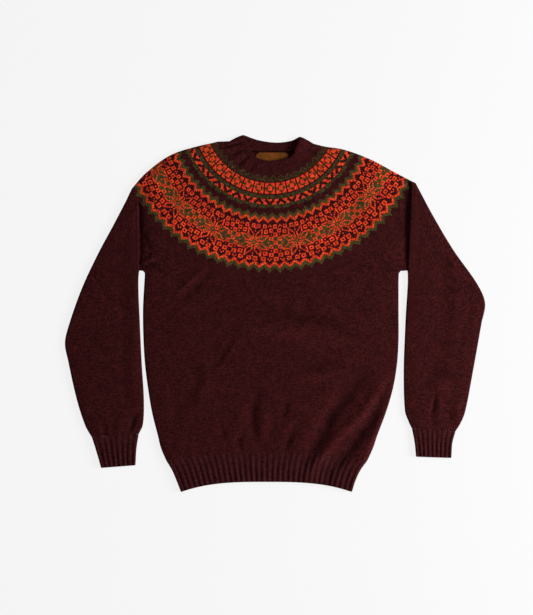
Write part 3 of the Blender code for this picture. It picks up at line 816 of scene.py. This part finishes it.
def makeBodyPanel(name, isFront):
    below, above, columns = body["front"] if isFront else body["back"]
    folds = body["folds"] if isFront else ()
    shares = denseShares(columns, body["width"])
    rows = []
    for number, line in enumerate(bodyLines(below, above, isFront)):
        depth = float(creaseDepth(max(0, number - below) / above))
        hold = float(np.interp(number - below, *zip(*body["creaseHold"])))
        rows.append(layerPoints(line, shares, isFront, folds, depth=depth, hold=hold))
    across, along = stitchCounts(rows, False)
    return clothGrid(name, rows, across, along, plainWool, False, folds=folds)


bodyFront = makeBodyPanel("bodyFrontKnit", True)
bodyBack = makeBodyPanel("bodyBackKnit", False)
print("body knitted")


# Ribbing: hem, cuffs and neckband

ribbing = {
    "wall": 2.4,
    "rise": 1.9,  # how far a rib stands over the furrow beside it
    "fullness": 0.75,  # below 1, ribs are broad and furrows narrow
    "growth": (0.4, 0.9),  # share of the rise at the seam, and what a whole length adds
    "insideShare": 0.6,  # share of the rise on the back layer's inner side
    "rollRows": 1.5,  # how fast a rolled seam allowance dies out
    "columns": 10,  # points across one rib
    "stitches": 4,  # two knit, two purl
    "lip": 0.9,  # how far the free edge rounds out
}


def ribbedTube(
    name, fronts, backs, ribs, rest, folds=(), rise=ribbing["rise"], roll=0.0, wool=ribWool
):
    # lines run from the seam to the free edge; the inner side follows them back
    frontRibs, backRibs = ribs
    frontShares, backShares = (np.linspace(0, 1, n * ribbing["columns"] + 1) for n in ribs)
    homeward = frontRibs + (1 - backShares[-2:0:-1]) * backRibs
    wave = np.concatenate([frontShares * frontRibs, homeward])
    raised = (0.5 - 0.5 * np.cos(2 * math.pi * wave)) ** ribbing["fullness"]
    frontCount = len(frontShares)
    atSeam, growth = ribbing["growth"]
    outer, inner = [], []
    for number, (front, back) in enumerate(zip(fronts, backs)):
        grown = rise * min(1.0, atSeam + growth * number / len(fronts))
        rolled = roll * math.exp(-number / ribbing["rollRows"])
        row = ringPoints(front, back, frontShares, backShares, folds, rest)
        row[:frontCount, 2] += grown * raised[:frontCount]
        outer.append(row)
        row = ringPoints(front, back, frontShares, backShares, folds, rest, ribbing["wall"])
        row[frontCount:, 2] += ribbing["insideShare"] * grown * raised[frontCount:] + rolled
        inner.append(row)
    lip = (outer[-1] + inner[-1]) / 2
    ahead = outer[-1] - outer[-2]
    lip += ahead / np.linalg.norm(ahead, axis=1)[:, None] * ribbing["lip"]
    rows = [*outer, lip, *inner[::-1]]
    across = np.append(wave, frontRibs + backRibs) * ribbing["stitches"]
    across = np.tile(across, (len(rows) + 1, 1))
    along = rowMarks(np.array([*rows, rows[0]])) + np.zeros(across.shape)
    along = -along / lay["stitch"][1]
    return clothGrid(name, rows, across, along, wool, True, True, folds)


neckband = {
    "edgeFront": [
        (-57, 712.8),
        (-46, 690),
        (-36, 671),
        (-1, 660),
        (40, 670),
        (49, 688),
        (57.5, 709.4),
    ],
    "edgeBack": [(-57, 712.8), (-27, 702), (8, 697), (39, 700.5), (57.5, 709.4)],
    "peaks": [(-67, 710.5), (68, 706)],  # the tops of the shoulders
    "peakReach": 9.0,
    "ribs": (28, 20),
    "rows": 12,
    "rest": 8.5,
    "rise": 0.35,
    "roll": 3.6,  # the seam allowance that rolls over inside the back neck
}


def bandLines(low, high):  # from the seam to the free edge, rounded over the two shoulder peaks
    low, high = evenLine(smoothLine(low)), evenLine(smoothLine(high))
    middle = (low + high) / 2
    marks = lineMarks(high)
    for end, peak, room in ((0, 0, marks), (-1, 1, marks[-1] - marks)):
        away = np.array(neckband["peaks"][peak]) - middle[end]
        middle = middle + away * np.exp(-room / neckband["peakReach"])[:, None]
    steps = np.linspace(0, 1, neckband["rows"] + 1)
    return [low * (1 - t) ** 2 + middle * 2 * t * (1 - t) + high * t**2 for t in steps]


neckbandPiece = ribbedTube(
    "neckbandKnit",
    bandLines(yoke["seamFront"], neckband["edgeFront"]),
    bandLines(yoke["seamBack"], neckband["edgeBack"]),
    neckband["ribs"],
    neckband["rest"],
    folds=yoke["folds"],
    rise=neckband["rise"],
    roll=neckband["roll"],
    wool=bandWool,
)

hem = {
    "sides": [  # height, right and left side
        (61.9, -210.4, 191.6),
        (43.0, -199.0, 178.0),
        (22.0, -190.0, 168.0),
        (0.0, -181.4, 161.0),
    ],
    "arch": (16.0, 20.4),  # how far it draws up in the middle, at the seam and at the free edge
    "ribs": (34, 34),
    "rows": 22,
    "steps": 96,  # along a line
    "rest": 7.7,
}


def hemLines():
    right, left = sideLines(hem["sides"], hem["rows"])
    shares = np.linspace(0, 1, hem["steps"] + 1)
    lines = []
    for down, (start, end) in enumerate(zip(right, left)):
        line = start + (end - start) * shares[:, None]
        lift = hem["arch"][0] + (hem["arch"][1] - hem["arch"][0]) * down / hem["rows"]
        line[:, 1] += lift * archShape(shares)
        lines.append(line)
    return lines


hemPiece = ribbedTube("hemKnit", hemLines(), hemLines(), hem["ribs"], hem["rest"], body["folds"])

sleeves = {
    "right": {
        "side": -1,
        "ribs": 8,
        "rows": [  # outer fold, then inner fold
            (-283.0, 598.0, -264.9, 438.0),
            (-291.0, 581.0, -265.4, 434.0),
            (-317.0, 531.0, -266.0, 421.0),
            (-345.0, 479.0, -265.8, 395.0),
            (-378.0, 409.0, -264.0, 357.0),
            (-403.5, 338.0, -262.2, 315.0),
            (-413.0, 298.0, -261.0, 289.0),
            (-407.0, 263.0, -259.4, 257.0),
            (-389.0, 183.0, -255.0, 183.0),
            (-372.0, 131.0, -257.0, 134.0),
            (-359.0, 108.0, -265.4, 115.0),
        ],
        "cuff": [
            (-358.9, 107.7, -265.5, 114.7),
            (-350.4, 81.0, -270.0, 85.0),
            (-341.0, 48.2, -271.8, 53.6),
        ],
        "folds": [
            (16, -1.0, (-396, 300), (-350, 318), (-310, 322)),
            (16, 0.9, (-388, 345), (-340, 362), (-300, 362)),
            (14, -1.4, (-296, 500), (-300, 420), (-295, 330), (-288, 190)),
            (11, 0.7, (-276, 360), (-274, 200)),
            (6, -0.9, (-273, 590), (-268, 452)),
            (5, -3.2, (-272, 152), (-286, 118)),
            (8, 1.8, (-302, 152), (-308, 114)),
            (6, -1.8, (-338, 140), (-332, 108)),
        ],
    },
    "left": {
        "side": 1,
        "ribs": 9,
        "rows": [
            (288.0, 617.0, 272.1, 437.5),
            (296.0, 602.0, 272.4, 434.0),
            (321.0, 555.0, 272.4, 419.0),
            (363.0, 484.0, 271.0, 393.0),
            (412.0, 414.0, 269.2, 367.0),
            (427.0, 377.0, 268.2, 349.0),
            (420.0, 337.0, 267.0, 323.0),
            (404.0, 247.0, 264.2, 243.0),
            (387.0, 159.0, 266.6, 162.0),
            (377.0, 135.0, 274.0, 140.0),
            (368.0, 121.0, 280.6, 126.0),
        ],
        "cuff": [
            (367.9, 120.7, 280.7, 125.7),
            (361.6, 97.0, 286.0, 98.0),
            (359.6, 68.2, 288.8, 70.6),
        ],
        "folds": [
            (7, 0.8, (290, 600), (280, 455)),
            (14, -1.7, (344, 460), (350, 380), (342, 270)),
            (14, 1.4, (398, 330), (350, 318)),
            (8, -1.0, (398, 360), (380, 325), (374, 290)),
            (11, -3.2, (308, 240), (345, 236)),
            (11, 2.4, (320, 211), (352, 205)),
            (4, -2.0, (328, 200), (323, 172), (318, 146)),
            (7, 2.0, (338, 188), (334, 140)),
            (6, -2.0, (352, 162), (358, 134)),
            (7, 1.4, (372, 180), (372, 140)),
        ],
    },
    "columns": 64,  # across one layer
    "width": 150.0,  # of one layer, on average
    "rowStep": 3.0,
    "tableStops": 400,  # where the table of rows is read
    "headRows": 16,  # between the armhole and the first row of the table
    "headEase": 1.7,  # above 1, they crowd to the armhole
    "armholeSteps": (12, 24),  # along the yoke, and down the crease
    "valley": 0.9,  # reach of the armhole's crease, in fold radii
    "cuffRows": 18,
    "cuffRest": 7.7,
}


def straightLine(row, steps=96):
    start, end = np.array(row[:2]), np.array(row[2:])
    return start + (end - start) * np.linspace(0, 1, steps + 1)[:, None]


def armholeLine(side):  # along the yoke from the shoulder's fold, then down the crease
    edge, _, rightAngle, leftAngle = yokeLines(yoke["rings"][-1][0])
    if side > 0:
        edge = edge[::-1]
    angle = rightAngle - body["creases"][0] if side < 0 else leftAngle - body["creases"][1]
    reach = lineMarks(edge)[-1] * angle / (rightAngle + leftAngle)
    yokeSteps, creaseSteps = sleeves["armholeSteps"]
    onYoke = readLine(edge, np.linspace(0, reach, yokeSteps + 1))
    steps = np.linspace(0, 1, creaseSteps + 1)[1:, None]
    down = onYoke[-1] + (underarmPoint(side) - onYoke[-1]) * steps
    return evenLine(np.concatenate([onYoke, down]))


def creaseValley(points, side):  # the sleeve rounds down into the armhole's crease
    top = creasePoint(side)
    run = underarmPoint(side) - top
    along = np.clip(((points[:, :2] - top) @ run) / (run @ run), 0, 1)
    away = np.linalg.norm(points[:, :2] - top - along[:, None] * run, axis=1)
    near = 1 - np.clip(away / (sleeves["valley"] * lay["foldRadius"]), 0, 1)
    lift = np.sqrt(1 - near**2)
    return 1 - (1 - lift) * creaseDepth(1 - along)


def makeSleeve(name, sleeve):
    side = sleeve["side"]
    first = straightLine(sleeve["rows"][0])
    armhole = armholeLine(side)
    steps = np.linspace(0, 1, sleeves["headRows"] + 1) ** sleeves["headEase"]
    lines = [armhole + (first - armhole) * t for t in steps]
    stops = np.linspace(0, len(sleeve["rows"]) - 1, sleeves["tableStops"])
    table = np.array([curveAt(sleeve["rows"], stop) for stop in stops])
    marks = lineMarks((table[:, :2] + table[:, 2:]) / 2)
    count = int(marks[-1] / sleeves["rowStep"])
    for mark in np.linspace(0, marks[-1], count + 1)[1:]:
        lines.append(straightLine([np.interp(mark, marks, column) for column in table.T]))
    shares = denseShares(sleeves["columns"], sleeves["width"])
    rows = []
    for line in lines:
        row = ringPoints(line, line, shares, shares, sleeve["folds"])
        over = row[: len(shares)]
        over[:, 2] = lay["foldLine"] + (over[:, 2] - lay["foldLine"]) * creaseValley(over, side)
        rows.append(row)
    across, along = stitchCounts(rows, True)
    return clothGrid(name, rows, across * side, -along, plainWool, True, folds=sleeve["folds"])


def makeCuff(name, sleeve):
    stops = np.linspace(0, len(sleeve["cuff"]) - 1, sleeves["cuffRows"] + 1)
    lines = [straightLine(curveAt(sleeve["cuff"], stop)) for stop in stops]
    ribs = (sleeve["ribs"], sleeve["ribs"])
    return ribbedTube(name, lines, lines, ribs, sleeves["cuffRest"])


sleeveRight = makeSleeve("sleeveRightKnit", sleeves["right"])
sleeveLeft = makeSleeve("sleeveLeftKnit", sleeves["left"])
cuffRight = makeCuff("cuffRightKnit", sleeves["right"])
cuffLeft = makeCuff("cuffLeftKnit", sleeves["left"])
print("sleeves and ribbing knitted")


# Neck label

label = {
    "size": (64.0, 26.0),
    "centre": (1.0, 664.8),
    "corner": 8.0,
    "cornerSteps": 6,
    "height": 3.5,
    "thickness": 0.5,
    "colour": (0.13, 0.037, 0.0013),
    "tones": [(0.3, 0.35), (0.7, 1.6)],  # place on the ramp, and share of the colour
    "weave": {"Scale": 900.0, "Distortion": 1.5},
    "weaveShare": 0.35,  # of the tone; the cloud has the rest
    "cloud": {"Scale": 90.0},
    "bump": {"Strength": 0.5, "Distance": 0.0002},
    "shader": {"Roughness": 0.6, "Specular IOR Level": 0.15},
}


def makeLabelSatin():
    material, tree, shader = newMaterial("labelSatin", label["shader"])
    place = addNode(tree, "TexCoord").outputs["Object"]
    threads = {**label["weave"], "Vector": place}
    weave = addNode(tree, "TexWave", threads, bands_direction="DIAGONAL").outputs["Fac"]
    cloud = addNode(tree, "TexNoise", {**label["cloud"], "Vector": place}).outputs["Fac"]
    mixed = calc(tree, "MULTIPLY", cloud, 1 - label["weaveShare"])
    mixed = calc(tree, "MULTIPLY_ADD", weave, label["weaveShare"], mixed)
    ramp = addNode(tree, "ValToRGB", {"Fac": mixed})
    for k, (position, tone) in enumerate(label["tones"]):
        ramp.color_ramp.elements[k].position = position
        ramp.color_ramp.elements[k].color = (*(tone * c for c in label["colour"]), 1)
    bump = addNode(tree, "Bump", {**label["bump"], "Height": weave})
    colour, normal = ramp.outputs["Color"], bump.outputs["Normal"]
    feed(tree, shader, {"Base Color": colour, "Normal": normal})
    return material


def makeLabel():
    width, depth = (size / perMetre for size in label["size"])
    x, y = ((label["centre"][k] - lay["middle"][k]) / perMetre for k in (0, 1))
    bpy.ops.mesh.primitive_plane_add(size=1, location=(x, y, label["height"] / perMetre))
    piece = bpy.context.object
    piece.name = "labelWoven"
    bpy.ops.object.mode_set(mode="EDIT")
    bpy.ops.transform.resize(value=(width, depth, 1))
    corner = label["corner"] / perMetre
    bpy.ops.mesh.bevel(offset=corner, segments=label["cornerSteps"], affect="VERTICES")
    bpy.ops.object.mode_set(mode="OBJECT")
    bpy.ops.object.transform_apply(location=True, rotation=True, scale=True)
    solidify = piece.modifiers.new("thickness", "SOLIDIFY")
    solidify.thickness = label["thickness"] / perMetre
    solidify.offset = 1
    bpy.ops.object.modifier_apply(modifier="thickness")
    piece.data.materials.append(makeLabelSatin())
    piece.select_set(False)
    return piece


labelPiece = makeLabel()
print("label sewn in")


# What each piece stands for

cloths = [  # piece, its CAD nodes, slot, width and length of the cut, its area, what it lies on
    (yokePiece, ["yoke"], "patterned_wool", (1.38, 0.24), 0.207, ["floor"]),
    (neckbandPiece, ["neckband"], "maroon_wool", (0.42, 0.025), 0.0102, ["yokeKnit"]),
    (bodyFront, ["body_front"], "maroon_wool", (0.53, 0.53), 0.208, ["bodyBackKnit"]),
    (bodyBack, ["body_back"], "maroon_wool", (0.53, 0.53), 0.21, ["floor"]),
    (hemPiece, ["hem_rib_front", "hem_rib_back"], "maroon_wool", (0.8, 0.065), 0.049, ["floor"]),
    (sleeveRight, ["sleeve_right"], "maroon_wool", (0.4, 0.5), 0.11, ["floor"]),
    (sleeveLeft, ["sleeve_left"], "maroon_wool", (0.4, 0.5), 0.115, ["floor"]),
    (cuffRight, ["cuff_right"], "maroon_wool", (0.17, 0.065), 0.0105, ["floor"]),
    (cuffLeft, ["cuff_left"], "maroon_wool", (0.17, 0.06), 0.0095, ["floor"]),
    (labelPiece, ["neck_label"], "label_satin", (0.064, 0.026), None, ["yokeKnit"]),
]
for piece, nodes, slotName, flat, area, restsOn in cloths:
    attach(piece, "root")
    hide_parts(*nodes)
    measured = sum(polygon.area for polygon in piece.data.polygons)
    print(piece.name, len(piece.data.polygons), "faces,", round(measured, 4), "square metres")


# Floor, light and camera

studio = {
    "panel": {  # pale, and lit from within
        "Base Color": (0.08, 0.08, 0.08, 1),
        "Roughness": 0.9,
        "Emission Color": (1, 1, 1, 1),
        "Emission Strength": 0.84,
    },
    "panelSize": 9.0,
    "panelDrop": 0.0002,
    "softbox": (2.7, -0.1, 1.25),
    "softboxSize": (1.6, 1.2),
    "softboxPower": 152.0,
    "sky": {"Color": (1, 1, 1, 1), "Strength": 0.27},
    "camera": (-0.017, 0.0115, 6.0),
    "lens": 175.6,
}
floorPlace = (0, 0, -studio["panelDrop"])
bpy.ops.mesh.primitive_plane_add(size=studio["panelSize"], location=floorPlace)
floor = bpy.context.object
floor.name = "floor"
floorPanel, _, _ = newMaterial("floorPanel", studio["panel"])
floor.data.materials.append(floorPanel)
floor.select_set(False)

softbox = bpy.data.lights.new("softbox", "AREA")
softbox.shape = "RECTANGLE"
softbox.size, softbox.size_y = studio["softboxSize"]
softbox.energy = studio["softboxPower"]
softboxStand = bpy.data.objects.new("softbox", softbox)
softboxStand.location = studio["softbox"]
aim = mathutils.Vector(studio["softbox"]).to_track_quat("Z", "Y")
softboxStand.rotation_euler = aim.to_euler()
bpy.context.scene.collection.objects.link(softboxStand)

world = bpy.data.worlds.new("studio")
world.use_nodes = True
feed(world.node_tree, world.node_tree.nodes["Background"], studio["sky"])
bpy.context.scene.world = world
bpy.context.scene.view_settings.view_transform = "Standard"

camera = bpy.data.cameras.new("camera")
camera.lens = studio["lens"]
cameraStand = bpy.data.objects.new("camera", camera)
cameraStand.location = studio["camera"]
bpy.context.scene.collection.objects.link(cameraStand)
bpy.context.scene.camera = cameraStand
print("studio set")
